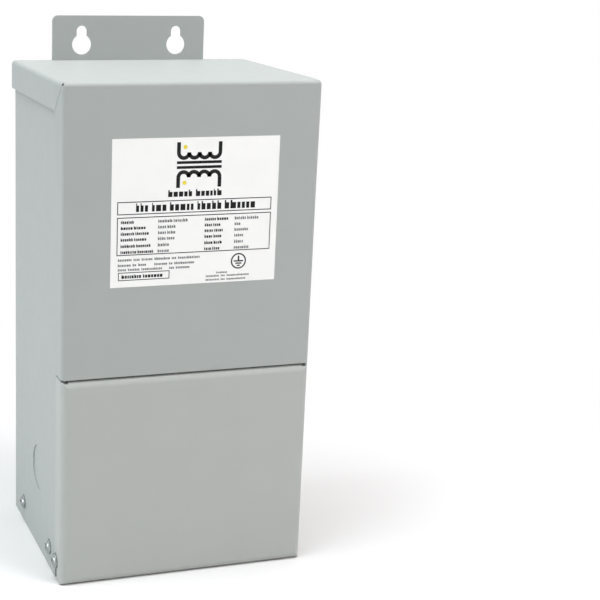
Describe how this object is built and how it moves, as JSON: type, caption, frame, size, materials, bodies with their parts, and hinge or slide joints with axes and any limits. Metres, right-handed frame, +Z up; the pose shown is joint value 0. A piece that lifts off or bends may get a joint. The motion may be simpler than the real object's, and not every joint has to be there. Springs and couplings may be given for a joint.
{
  "type": "buck boost transformer",
  "caption": "Wall mounted potted transformer in a folded sheet steel case, with a keyhole tab above and a screwed cover over its wiring compartment.",
  "frame": {"origin": "bottom centre of the object's box, in the plane of the case's lower edges", "axes": "+Z up, +Y towards the wall that the case hangs on, -Y out of its front, +X to the viewer's right"},
  "size_m": [0.1578, 0.1282, 0.3242],
  "materials": {
    "powder_coat": "satin greenish grey powder coat",
    "label_film": "satin white film with dark ruled fields",
    "zinc_plate": "bright zinc plated steel",
    "casting_resin": "matte black sand filled resin",
    "core_steel": "stacked electrical steel sheet",
    "clamp_steel": "black primed steel angle",
    "coil_board": "matte insulating board",
    "magnet_wire": "aluminium wire in amber enamel",
    "wrap_paper": "matte insulating paper",
    "galvanised_sheet": "galvanised sheet steel",
    "moulded_black": "moulded black phenolic",
    "nickel_brass": "nickel plated brass",
    "tinned_lug": "tin plated crimp lug",
    "ground_green": "green dyed nut",
    "black_lead": "black wire insulation",
    "red_lead": "red wire insulation"
  },
  "bodies": {
    "case": {"block_screws": "zinc_plate", "case_wrapper": "powder_coat", "clamp_bolts": "zinc_plate", "clamp_nuts": "zinc_plate", "clamp_washers": "nickel_brass", "coil_tube": "coil_board", "core_leg_stack": "core_steel", "core_yoke_stack": "core_steel", "cover_screws": "zinc_plate", "floor_screws": "zinc_plate", "floor_tray": "powder_coat", "ground_nut": "ground_green", "ground_stud": "zinc_plate", "ground_washer": "zinc_plate", "hood": "powder_coat", "insulation_wrap_four": "wrap_paper", "insulation_wrap_one": "wrap_paper", "insulation_wrap_three": "wrap_paper", "insulation_wrap_two": "wrap_paper", "lead_lugs": "tinned_lug", "lower_clamp_back": "clamp_steel", "lower_clamp_front": "clamp_steel", "potting_compound": "casting_resin", "primary_lead_four": "black_lead", "primary_lead_one": "black_lead", "primary_lead_three": "black_lead", "primary_lead_two": "black_lead", "primary_winding_one": "magnet_wire", "primary_winding_two": "magnet_wire", "rating_label": "label_film", "secondary_lead_four": "red_lead", "secondary_lead_one": "red_lead", "secondary_lead_three": "red_lead", "secondary_lead_two": "red_lead", "secondary_winding_one": "magnet_wire", "secondary_winding_two": "magnet_wire", "terminal_base": "moulded_black", "terminal_bracket": "galvanised_sheet", "terminal_plates": "nickel_brass", "terminal_screws": "zinc_plate", "upper_clamp_back": "clamp_steel", "upper_clamp_front": "clamp_steel"},
    "cover": {"wiring_cover": "powder_coat"}
  },
  "joints": [
    {"name": "cover_lift_off", "type": "slide", "parent": "case", "child": "cover", "axis": [0, -1, 0], "range_m": [0, 0.1]}
  ]
}
